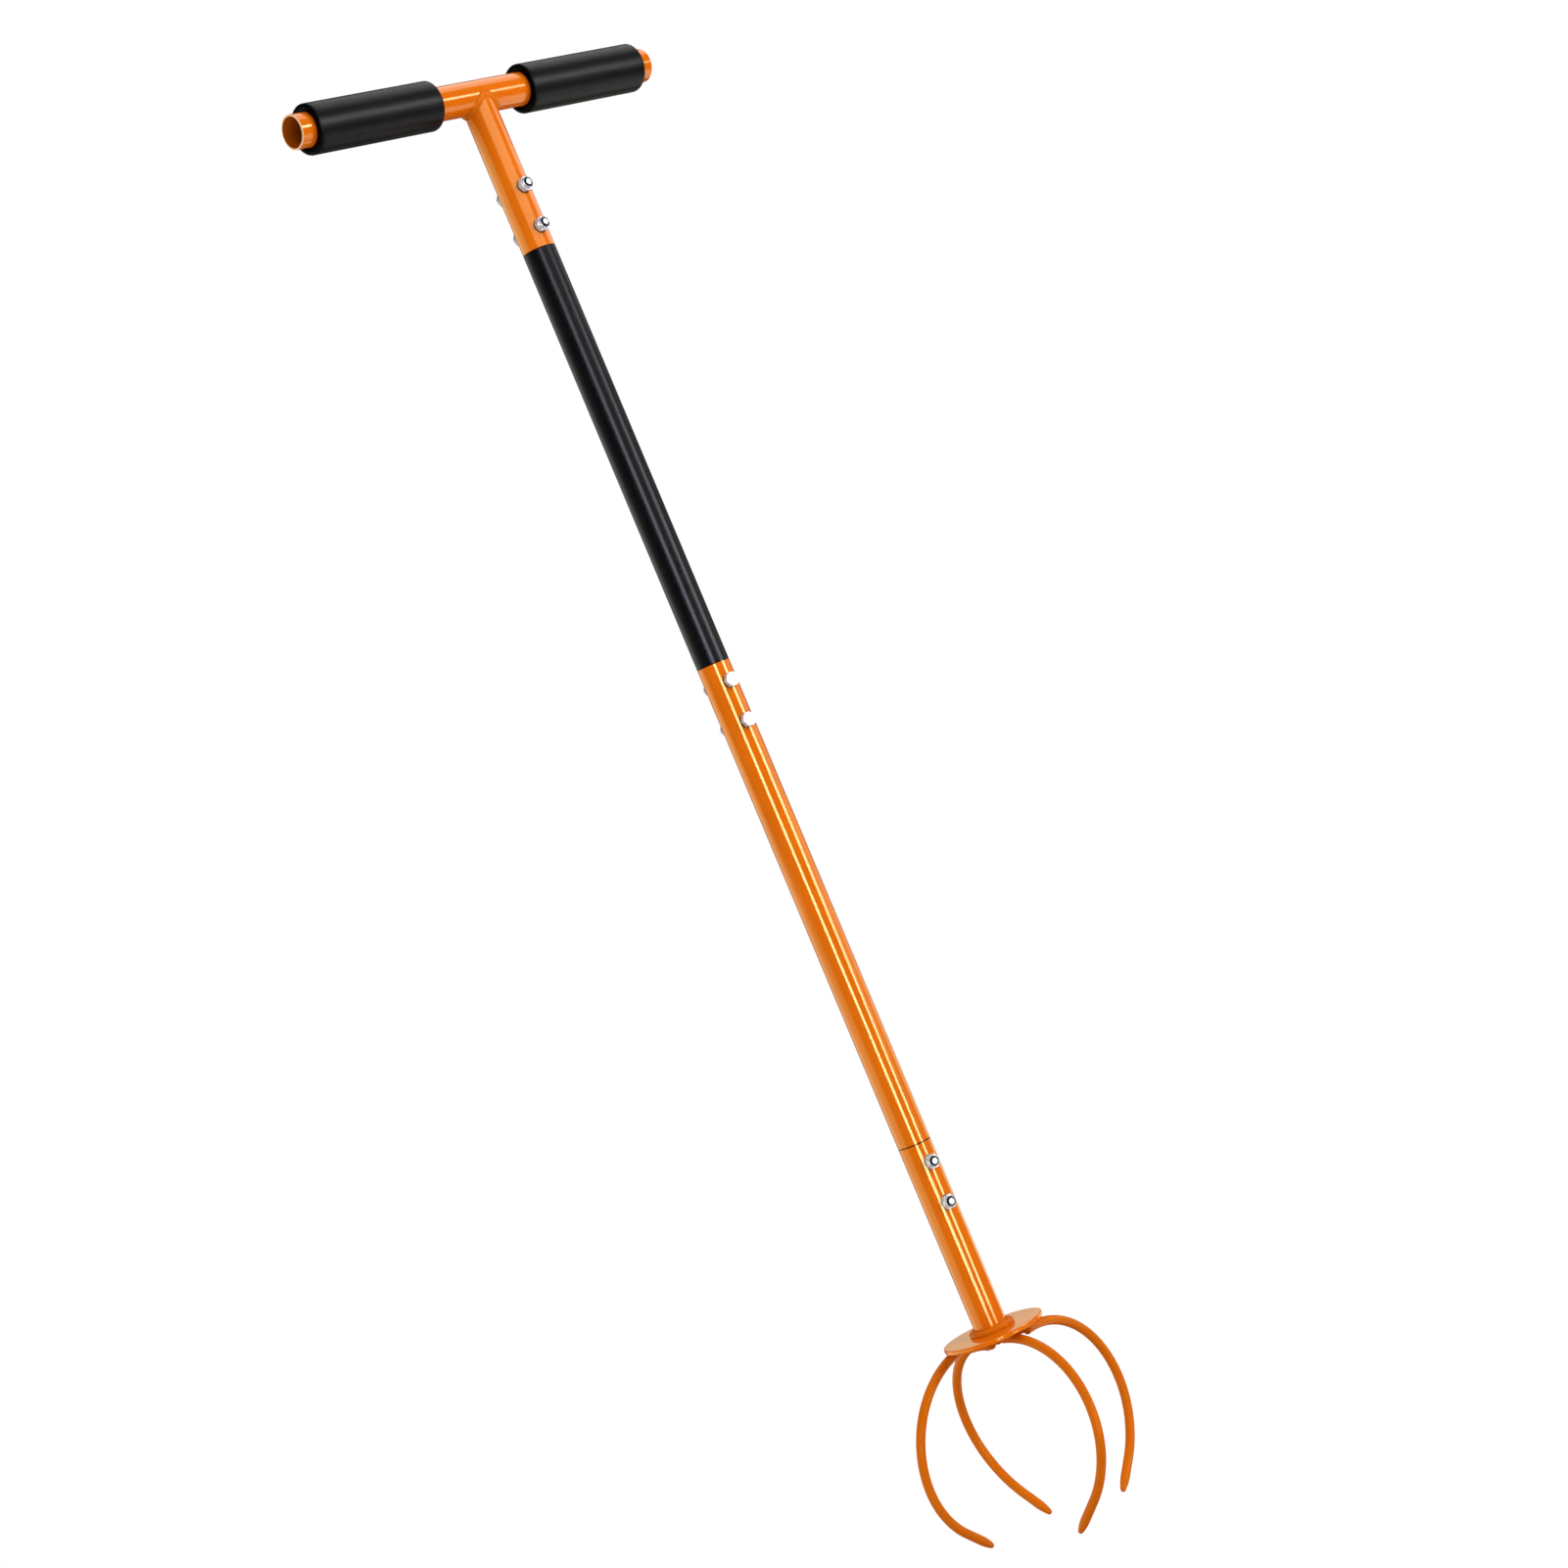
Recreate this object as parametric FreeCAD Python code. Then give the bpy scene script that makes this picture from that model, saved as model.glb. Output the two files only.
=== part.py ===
import FreeCAD, Part
import math
import os

# A long-handled twist cultivator: a T handle, a shaft bolted together from three tubes,
# and a claw of four bent tines under a round plate.
# Millimetres and degrees. +Z is up the shaft, X runs along the crossbar, -Y is the front.
# The origin is on the shaft's axis, on the ground that the four tine tips stand on.

# Tube stock, the same for the crossbar, the stem and the shaft
tube_diameter = 25.0
tube_wall = 1.2
tube_edge_break = 0.35

# Lengths up the shaft
claw_height = 150.0
claw_tube_length = 147.0
middle_tube_exposed = 379.0
upper_tube_exposed = 328.0
stem_length = 122.0

# Swaged tube ends, which plug into the next tube
insert_length = 62.0
socket_clearance = 0.1

# Crossbar and its foam grips
crossbar_length = 334.0
grip_diameter = 36.5
grip_end_margin = 12.0
bare_bar_length = 30.5
grip_fit = 0.1
grip_edge_radius = 1.6

# Welds
stem_bead_on_bar = 3.2
stem_bead_on_stem = 2.4
stem_bead_ear_drop = 3.6
cope_gap = 0.3
socket_bead_leg = 5.0
socket_bead_crown_share = 0.8
weld_root_gap = 0.02
tine_bead_reach = 3.2
tine_bead_depth = 5.0
tine_bead_toe_share = 0.85

# Claw plate
plate_diameter = 77.0
plate_thickness = 3.5
plate_edge_radius = 0.8

# Tines: one bent rod, straight at its root and again past its bend. An upright one has the end
# length given here, and one that leans is left longer, so that every tip is on the ground
rod_diameter = 7.0
tine_straight = 8.0
tine_bend_angle = 136.5
tine_end_length = 23.5
point_length = 11.0
point_end_radius = 2.1
point_waist_share = 0.45
point_width_share = 0.94
point_depth_share = 0.91
tine_weld_end = 26.0

# Where each tine is welded on: the way its root points, how far its line passes to the left
# of the shaft's axis, how far its plane leans from upright, and where its root starts
left_tine_turn = 179.4
left_tine_offset = -26.7
left_tine_lean = 9.4
left_tine_root = 11.0
back_tine_turn = 85.5
back_tine_offset = 4.4
back_tine_lean = 6.8
back_tine_root = -8.0
front_tine_turn = -87.1
front_tine_offset = -4.7
front_tine_lean = 11.1
front_tine_root = 11.5
right_tine_turn = 6.3
right_tine_offset = -28.2
right_tine_lean = -2.8
right_tine_root = 3.0

# Joint fasteners: M6 hexagon bolts with nylon-insert lock nuts, two across each joint
bolt_diameter = 6.0
bolt_hole_clearance = 0.2
bolt_length = 32.0
bolt_end_chamfer = 0.7
head_across_flats = 10.0
head_height = 4.0
nut_across_flats = 10.0
nut_hexagon_height = 4.4
nut_collar_height = 1.6
nut_collar_radius = 4.5
nut_thread_clearance = 0.05
hexagon_bevel = 0.7
hexagon_bevel_angle = 30
nylon_ring_radius = 4.0
nylon_ring_thickness = 1.5
nylon_ring_play = 0.02
nut_lip_thickness = 0.3
nut_lip_radius = 3.8
bolt_end_distance = 15.5
bolt_spacing = 31.5

# How far each joint's bolts are turned round the shaft from square to the crossbar
handle_joint_turn = 0.0
middle_joint_turn = -6.0
claw_joint_turn = -13.0

# One overrun for every cut
overrun = 10.0

# Worked out from the values above
tube_radius = tube_diameter / 2
bore_radius = tube_radius - tube_wall
neck_radius = bore_radius - socket_clearance
neck_bore_radius = neck_radius - tube_wall
grip_radius = grip_diameter / 2
grip_inner_end = tube_radius + bare_bar_length
grip_outer_end = crossbar_length / 2 - grip_end_margin
plate_radius = plate_diameter / 2
rod_radius = rod_diameter / 2
bolt_radius = bolt_diameter / 2
plate_top = claw_height
plate_bottom = plate_top - plate_thickness
claw_seam = plate_top + claw_tube_length
middle_seam = claw_seam + middle_tube_exposed
handle_seam = middle_seam + upper_tube_exposed
crossbar_level = handle_seam + stem_length
rod_level = plate_bottom - rod_radius
tine_bend = math.radians(tine_bend_angle)
tine_bend_depth = rod_level - point_end_radius - tine_end_length * math.sin(tine_bend)
tine_bend_radius = tine_bend_depth / (1 - math.cos(tine_bend))

origin = FreeCAD.Vector(0, 0, 0)
along_x = FreeCAD.Vector(1, 0, 0)
along_y = FreeCAD.Vector(0, 1, 0)
along_z = FreeCAD.Vector(0, 0, 1)
full_turn = 360
quarter_turn = 90
hexagon_sides = 6
bevel_slope = math.tan(math.radians(hexagon_bevel_angle))
bolts_per_joint = 2

# Each joint's seam, the side of the seam that its bolts are on (1 above, -1 below), the turn of
# its bolts, and the side that the bolt heads face (1 front, -1 back)
joints = {
    "handle_joint": (handle_seam, 1, handle_joint_turn, -1),
    "middle_joint": (middle_seam, -1, middle_joint_turn, 1),
    "claw_joint": (claw_seam, -1, claw_joint_turn, -1),
}


def lathe(points):
    """A solid turned about the shaft's axis from (radius, height) corners."""
    corners = [FreeCAD.Vector(radius, 0, height) for radius, height in points]
    outline = Part.makePolygon(corners + corners[:1])
    return Part.Face(outline).revolve(origin, along_z, full_turn)


def lathe_edges(edges):
    """A solid turned about the shaft's axis from edges that close an outline."""
    outline = Part.Wire(edges)
    return Part.Face(outline).revolve(origin, along_z, full_turn)


def rod_along(radius, start, end, direction):
    """A round bar about an axis through the origin, from start to end along it."""
    return Part.makeCylinder(radius, end - start, direction * start, direction)


def across_shaft(shape, height, turn, side):
    """Lay a shape that points up square across the shaft, facing the front for side 1."""
    tip_over = FreeCAD.Rotation(along_x, quarter_turn * side)
    swing = FreeCAD.Rotation(along_z, turn)
    placed = shape.copy()
    placed.Placement = FreeCAD.Placement(along_z * height, swing * tip_over)
    return placed


def bolt_levels(joint):
    """Heights of a joint's bolts."""
    seam, side, turn, head_side = joints[joint]
    distances = [bolt_end_distance + bolt_spacing * count for count in range(bolts_per_joint)]
    return [seam + side * distance for distance in distances]


def drilled(tube, joint):
    """A tube with the clearance holes of a joint's bolts through both walls."""
    seam, side, turn, head_side = joints[joint]
    drill_radius = bolt_radius + bolt_hole_clearance
    reach = tube_radius + overrun
    drill = rod_along(drill_radius, -reach, reach, along_z)
    for height in bolt_levels(joint):
        tube = tube.cut(across_shaft(drill, height, turn, head_side))
    return tube


def neck_outline(seam, way):
    """Outline of a swaged neck from its bore to the shoulder at a seam, way 1 up or -1 down."""
    end = seam + way * insert_length
    return [
        (neck_bore_radius, seam - way * tube_wall),
        (neck_bore_radius, end),
        (neck_radius - tube_edge_break, end),
        (neck_radius, end - way * tube_edge_break),
        (neck_radius, seam),
    ]


def shaft_tube(bottom, top, neck_below=False, neck_above=False):
    """A round tube from seam to seam, with a swaged neck past one or both of its ends."""
    points = [(bore_radius, bottom)]
    if neck_below:
        points = [(bore_radius, bottom + tube_wall)] + neck_outline(bottom, -1)
    points += [
        (tube_radius - tube_edge_break, bottom),
        (tube_radius, bottom + tube_edge_break),
        (tube_radius, top - tube_edge_break),
        (tube_radius - tube_edge_break, top),
    ]
    if neck_above:
        points += neck_outline(top, 1)[::-1] + [(bore_radius, top - tube_wall)]
    else:
        points += [(bore_radius, top)]
    return lathe(points)


def upper_shaft_tube():
    """Black tube: its upper neck goes up into the stem, its lower one down into the middle tube."""
    tube = shaft_tube(middle_seam, handle_seam, neck_below=True, neck_above=True)
    return drilled(drilled(tube, "handle_joint"), "middle_joint")


def middle_shaft_tube():
    """Middle tube: plain socket at its top, swaged neck at its bottom."""
    tube = shaft_tube(claw_seam, middle_seam, neck_below=True)
    return drilled(drilled(tube, "middle_joint"), "claw_joint")


def claw_socket_tube():
    """Short tube that stands on the claw plate and takes the middle tube's neck."""
    tube = shaft_tube(plate_top, claw_seam)
    return drilled(tube, "claw_joint")


def stem_tube():
    """Handle stem, open at the bottom and coped at the top to sit under the crossbar."""
    tube = shaft_tube(handle_seam, crossbar_level)
    reach = tube_radius + overrun
    saddle = rod_along(tube_radius + cope_gap, -reach, reach, along_x)
    saddle.translate(along_z * crossbar_level)
    return drilled(tube.cut(saddle), "handle_joint")


def laid_on_crossbar(shape, side=1):
    """Lay a shape that points up along the crossbar, towards +X for side 1 and -X for side -1."""
    lie_down = FreeCAD.Rotation(along_y, quarter_turn * side)
    shape.Placement = FreeCAD.Placement(along_z * crossbar_level, lie_down)
    return shape


def crossbar_tube():
    """Straight handle tube, open at both ends."""
    return laid_on_crossbar(shaft_tube(-crossbar_length / 2, crossbar_length / 2))


def grip(side):
    """Foam sleeve pushed over the crossbar, with both of its outer edges rounded."""
    sleeve = rod_along(grip_radius, grip_inner_end, grip_outer_end, along_z)
    sleeve = sleeve.makeFillet(grip_edge_radius, [edge for edge in sleeve.Edges if is_circle(edge)])
    hole_radius = tube_radius + grip_fit
    hole = rod_along(hole_radius, grip_inner_end - overrun, grip_outer_end + overrun, along_z)
    return laid_on_crossbar(sleeve.cut(hole), side)


def is_circle(edge):
    return isinstance(edge.Curve, Part.Circle)


def stem_weld_bead():
    """Weld all round the stem's coped end: the metal that lies close to both tubes."""
    reach = tube_radius + overrun
    ear_top = crossbar_level - stem_bead_ear_drop
    near_stem = rod_along(tube_radius + stem_bead_on_bar, crossbar_level - reach, ear_top, along_z)
    near_bar = rod_along(tube_radius + stem_bead_on_stem, -reach, reach, along_x)
    near_bar.translate(along_z * crossbar_level)
    bar = rod_along(tube_radius + weld_root_gap, -reach, reach, along_x)
    bar.translate(along_z * crossbar_level)
    stem = rod_along(tube_radius + weld_root_gap, handle_seam, crossbar_level, along_z)
    return near_stem.common(near_bar).cut(bar).cut(stem)


def claw_plate():
    """Round steel plate with its edges eased."""
    plate = rod_along(plate_radius, plate_bottom, plate_top, along_z)
    return plate.makeFillet(plate_edge_radius, [edge for edge in plate.Edges if is_circle(edge)])


def socket_weld_bead():
    """Full rounded weld between the claw tube's foot and the plate."""
    root = tube_radius + weld_root_gap
    rise = socket_bead_leg * socket_bead_crown_share
    foot = FreeCAD.Vector(root, 0, plate_top)
    top = FreeCAD.Vector(root, 0, plate_top + socket_bead_leg)
    crown = FreeCAD.Vector(root + rise, 0, plate_top + rise)
    toe = FreeCAD.Vector(root + socket_bead_leg, 0, plate_top)
    return lathe_edges([
        Part.LineSegment(foot, top).toShape(),
        Part.Arc(top, crown, toe).toShape(),
        Part.LineSegment(toe, foot).toShape(),
    ])


def tine_point():
    """Ground point of a tine, pointing up: it narrows ever faster and runs into a ball end."""
    taper = math.atan(2 * (rod_radius - point_end_radius) / point_length)
    ball_start = point_length + point_end_radius * math.sin(taper)
    ball_start_radius = point_end_radius * math.cos(taper)
    waist = point_length * point_waist_share
    width = rod_radius * point_width_share
    depth = rod_radius * point_depth_share
    sections = []
    for height, long_radius, short_radius in (
        (0, rod_radius, rod_radius),
        (waist, width, depth),
        (ball_start, ball_start_radius, ball_start_radius),
    ):
        ring = Part.Ellipse(along_z * height, long_radius, short_radius)
        sections.append(Part.Wire(ring.toShape()))
    point = Part.makeLoft(sections, True, False)
    start_angle = math.degrees(taper)
    centre = along_z * point_length
    ball_end = Part.makeSphere(
        point_end_radius, centre, along_z, start_angle, quarter_turn, full_turn
    )
    return point.fuse(ball_end).removeSplitter()


def tine(turn, offset, lean, root):
    """One bent rod, welded on under the plate and cut so that its tip is on the ground."""
    centre = FreeCAD.Vector(tine_straight, 0, -tine_bend_radius)
    section = Part.Face(Part.Wire(Part.makeCircle(rod_radius, along_x * tine_straight, along_x)))
    past_straight = max(root - tine_straight, 0)
    start_angle = math.degrees(math.asin(past_straight / tine_bend_radius))
    section.rotate(centre, along_y, start_angle)
    pieces = [section.revolve(centre, along_y, tine_bend_angle - start_angle)]
    if root < tine_straight:
        pieces.append(rod_along(rod_radius, root, tine_straight, along_x))

    outward = FreeCAD.Vector(math.sin(tine_bend), 0, math.cos(tine_bend))
    bend_end = centre + outward * tine_bend_radius
    heading = FreeCAD.Vector(math.cos(tine_bend), 0, -math.sin(tine_bend))
    tip_depth = (rod_level - point_end_radius) / math.cos(math.radians(lean))
    end_length = (tip_depth + bend_end.z) / math.sin(tine_bend)
    shank_length = end_length - point_length
    pieces.append(Part.makeCylinder(rod_radius, shank_length, bend_end, heading))
    point = tine_point()
    point.Placement = FreeCAD.Placement(
        bend_end + heading * shank_length, FreeCAD.Rotation(along_y, quarter_turn + tine_bend_angle)
    )
    pieces.append(point)

    rod = pieces[0].multiFuse(pieces[1:]).removeSplitter()
    rod.rotate(origin, along_x, -lean)
    rod.translate(FreeCAD.Vector(0, offset, rod_level))
    rod.rotate(origin, along_z, turn)
    return rod


def tine_bead(turn, offset, root):
    """Weld metal laid along both sides of a tine's root, before the rods are taken out of it."""
    reach = rod_radius + tine_bead_reach
    toe = rod_radius * tine_bead_toe_share
    low = -tine_bead_depth
    corners = [(-reach, 0), (reach, 0), (toe, low), (-toe, low)]
    outline = [FreeCAD.Vector(root, across, plate_bottom + height) for across, height in corners]
    section = Part.Face(Part.makePolygon(outline + outline[:1]))
    bead = section.extrude(along_x * (tine_weld_end - root))
    bead.translate(along_y * offset)
    bead.rotate(origin, along_z, turn)
    return bead


tine_places = {
    "left_tine": (left_tine_turn, left_tine_offset, left_tine_lean, left_tine_root),
    "back_tine": (back_tine_turn, back_tine_offset, back_tine_lean, back_tine_root),
    "front_tine": (front_tine_turn, front_tine_offset, front_tine_lean, front_tine_root),
    "right_tine": (right_tine_turn, right_tine_offset, right_tine_lean, right_tine_root),
}


def tine_weld_beads(tines):
    """All the weld metal under the plate, with the four rods taken out of it."""
    beads = [tine_bead(turn, offset, root) for turn, offset, lean, root in tine_places.values()]
    metal = beads[0].multiFuse(beads[1:])
    for rod in tines.values():
        metal = metal.cut(rod)
    disc = rod_along(plate_radius, plate_bottom - tine_bead_depth, plate_bottom, along_z)
    return Part.Compound(metal.common(disc).Solids)


def hexagon(across_flats, bottom, top, bottom_bevel):
    """Hexagonal prism whose corners are bevelled at the top, and by bottom_bevel at the bottom."""
    corner_radius = across_flats / 2 / math.cos(math.pi / hexagon_sides)
    first_corner = along_x * corner_radius + along_z * bottom
    corners = []
    for count in range(hexagon_sides + 1):
        turned = FreeCAD.Rotation(along_z, full_turn / hexagon_sides * count)
        corners.append(turned.multVec(first_corner))
    prism = Part.Face(Part.makePolygon(corners)).extrude(along_z * (top - bottom))
    bevels = lathe([
        (0, bottom),
        (corner_radius - bottom_bevel, bottom),
        (corner_radius + overrun, bottom + bevel_slope * (bottom_bevel + overrun)),
        (corner_radius + overrun, top - bevel_slope * (hexagon_bevel + overrun)),
        (corner_radius - hexagon_bevel, top),
        (0, top),
    ])
    return prism.common(bevels)


def joint_bolt():
    """Hexagon bolt that points down, its head resting on the tube's crown."""
    head = hexagon(head_across_flats, tube_radius, tube_radius + head_height, 0)
    end = tube_radius - bolt_length
    shank = lathe([
        (0, end),
        (bolt_radius - bolt_end_chamfer, end),
        (bolt_radius, end + bolt_end_chamfer),
        (bolt_radius, tube_radius),
        (0, tube_radius),
    ])
    return head.fuse(shank).removeSplitter()


def lock_nut():
    """Nylon-insert nut standing on the tube's crown, with the collar that holds the insert."""
    seat = tube_radius
    top = seat + nut_hexagon_height + nut_collar_height
    ring_bottom = top - nut_lip_thickness - nylon_ring_thickness
    body = hexagon(nut_across_flats, seat, seat + nut_hexagon_height, hexagon_bevel)
    collar = lathe([
        (0, seat + nut_hexagon_height),
        (nut_collar_radius, seat + nut_hexagon_height),
        (nut_collar_radius, top - nut_lip_thickness),
        (nut_collar_radius - nut_lip_thickness, top),
        (0, top),
    ])
    bore = rod_along(bolt_radius + nut_thread_clearance, seat - overrun, top + overrun, along_z)
    pocket_radius = nylon_ring_radius + nylon_ring_play
    pocket = rod_along(pocket_radius, ring_bottom, top - nut_lip_thickness, along_z)
    mouth = rod_along(nut_lip_radius, top - nut_lip_thickness, top + overrun, along_z)
    return body.fuse(collar).removeSplitter().cut(bore).cut(pocket).cut(mouth)


def nylon_ring():
    """Nylon insert in the nut's pocket, which grips the bolt."""
    top = tube_radius + nut_hexagon_height + nut_collar_height - nut_lip_thickness
    bottom = top - nylon_ring_thickness
    ring = rod_along(nylon_ring_radius, bottom + nylon_ring_play, top - nylon_ring_play, along_z)
    bore = rod_along(bolt_radius + nylon_ring_play, bottom - overrun, top + overrun, along_z)
    return ring.cut(bore)


def joint_hardware(shape, joint, on_head_side):
    """Copies of one fastener piece at every bolt of a joint."""
    seam, side, turn, head_side = joints[joint]
    facing = head_side if on_head_side else -head_side
    levels = bolt_levels(joint)
    return Part.Compound([across_shaft(shape, height, turn, facing) for height in levels])


def all_nodes():
    """Every piece by name."""
    nodes = {
        "crossbar_tube": crossbar_tube(),
        "left_grip": grip(-1),
        "right_grip": grip(1),
        "stem_tube": stem_tube(),
        "stem_weld_bead": stem_weld_bead(),
        "upper_shaft_tube": upper_shaft_tube(),
        "middle_shaft_tube": middle_shaft_tube(),
        "claw_socket_tube": claw_socket_tube(),
        "socket_weld_bead": socket_weld_bead(),
        "claw_plate": claw_plate(),
    }
    tines = {name: tine(*place) for name, place in tine_places.items()}
    nodes.update(tines)
    nodes["tine_weld_beads"] = tine_weld_beads(tines)
    for joint in joints:
        nodes[joint + "_bolts"] = joint_hardware(joint_bolt(), joint, True)
        nodes[joint + "_lock_nuts"] = joint_hardware(lock_nut(), joint, False)
        nodes[joint + "_nylon_rings"] = joint_hardware(nylon_ring(), joint, False)
    return nodes


os.makedirs("parts", exist_ok=True)
for node, shape in all_nodes().items():
    shape.exportStep("parts/" + node + ".step")
    print(node, len(shape.Solids), round(shape.Volume, 1), shape.isValid())
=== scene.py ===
import bpy
import bmesh
import math
from mathutils import Matrix, Vector


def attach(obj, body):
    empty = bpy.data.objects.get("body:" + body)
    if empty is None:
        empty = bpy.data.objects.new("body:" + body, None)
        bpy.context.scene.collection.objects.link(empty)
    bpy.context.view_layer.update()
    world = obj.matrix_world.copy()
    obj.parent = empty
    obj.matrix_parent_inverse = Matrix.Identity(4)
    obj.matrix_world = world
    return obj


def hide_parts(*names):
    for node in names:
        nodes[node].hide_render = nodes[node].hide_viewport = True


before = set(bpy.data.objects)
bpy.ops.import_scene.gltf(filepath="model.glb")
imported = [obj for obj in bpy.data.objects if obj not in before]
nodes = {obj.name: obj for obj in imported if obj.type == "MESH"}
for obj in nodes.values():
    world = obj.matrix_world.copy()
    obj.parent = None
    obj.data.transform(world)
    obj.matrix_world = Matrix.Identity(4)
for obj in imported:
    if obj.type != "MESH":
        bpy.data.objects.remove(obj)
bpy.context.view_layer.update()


# The crossbar. A straight 25 mm steel tube, saw-cut and left open at both ends, deburred,
# and enamelled with everything that is welded to it. The orange enamel starts here.
mm = 0.001
crossbar_height = 1126 * mm
bar_end = 167 * mm
tube_radius = 12.5 * mm
tube_bore = 11.3 * mm


def add_node(tree, kind, inputs=None, **settings):
    """One node with its settings, and its inputs set or linked by name or number."""
    made = tree.nodes.new(kind)
    for name, value in settings.items():
        setattr(made, name, value)
    for name, value in (inputs or {}).items():
        if isinstance(value, bpy.types.NodeSocket):
            tree.links.new(value, made.inputs[name])
        else:
            made.inputs[name].default_value = value
    return made


def hex_colour(code):
    """An sRGB hex value as the linear colour that a socket holds."""
    channels = [int(code[at:at + 2], 16) / 255 for at in (1, 3, 5)]
    return [c / 12.92 if c <= 0.04045 else ((c + 0.055) / 1.055) ** 2.4 for c in channels] + [1.0]


def new_finish(name, **constants):
    """A material with one Principled shader, whose constant sockets are set."""
    finish = bpy.data.materials.new(name)
    finish.use_nodes = True
    finish.node_tree.nodes.clear()
    shader = add_node(finish.node_tree, "ShaderNodeBsdfPrincipled", constants)
    add_node(finish.node_tree, "ShaderNodeOutputMaterial", {"Surface": shader.outputs["BSDF"]})
    return finish, finish.node_tree, shader


def grain(tree, feature, detail=2.0, stretch=(1, 1, 1)):
    """Noise whose features have a real size, on the piece's own coordinates."""
    place = add_node(tree, "ShaderNodeTexCoord").outputs["Object"]
    fitted = add_node(tree, "ShaderNodeMapping", {"Vector": place, "Scale": stretch})
    noise = add_node(tree, "ShaderNodeTexNoise", {
        "Vector": fitted.outputs["Vector"], "Scale": 1 / feature, "Detail": detail})
    return noise.outputs["Fac"]


def grain_between(tree, feature, low, high):
    """The same noise, with its usual range stretched to lie between two values."""
    return add_node(tree, "ShaderNodeMapRange", {
        "Value": grain(tree, feature), "From Min": 0.3, "From Max": 0.7,
        "To Min": low, "To Max": high}).outputs["Result"]


# Heights of the three seams between the tubes, from the ground
claw_seam = 297 * mm
middle_seam = 676 * mm
handle_seam = 1004 * mm

# Height of each joint's lower bolt, the turn of its bolts, and the side its heads face
joints = {
    "handle_joint": (1019.5 * mm, 0.0, -1),
    "middle_joint": (629.0 * mm, -6.0, 1),
    "claw_joint": (250.0 * mm, -13.0, -1),
}
bolt_spacing = 31.5 * mm


def bolt_distance(tree, place, height):
    """How far a point lies from the nearest bolt's axis."""
    nearest = None
    # The painted shade round each bolt sits a little below its axis, where the shade falls.
    shade_drop = 0.3 * mm
    for lowest, turn, _ in joints.values():
        sideways = (math.cos(math.radians(turn)), math.sin(math.radians(turn)), 0)
        across = add_node(tree, "ShaderNodeVectorMath", {
            0: place, 1: sideways}, operation="DOT_PRODUCT")
        spot = add_node(tree, "ShaderNodeCombineXYZ", {
            "X": across.outputs["Value"], "Z": height})
        for bolt in (lowest, lowest + bolt_spacing):
            away = add_node(tree, "ShaderNodeVectorMath", {
                0: spot.outputs[0], 1: (0, 0, bolt - shade_drop)}, operation="DISTANCE")
            away = away.outputs["Value"]
            nearest = away if nearest is None else add_node(tree, "ShaderNodeMath", {
                0: nearest, 1: away}, operation="MINIMUM").outputs[0]
    return nearest


def bar_axis_distance(tree, place):
    """How far a point lies from the crossbar's axis."""
    offset = add_node(tree, "ShaderNodeVectorMath", {
        0: place, 1: (0, 0, crossbar_height)}, operation="SUBTRACT")
    across = add_node(tree, "ShaderNodeVectorMath", {
        0: offset.outputs[0], 1: (0, 1, 1)}, operation="MULTIPLY")
    return add_node(tree, "ShaderNodeVectorMath", {
        0: across.outputs[0]}, operation="LENGTH").outputs["Value"]


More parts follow.
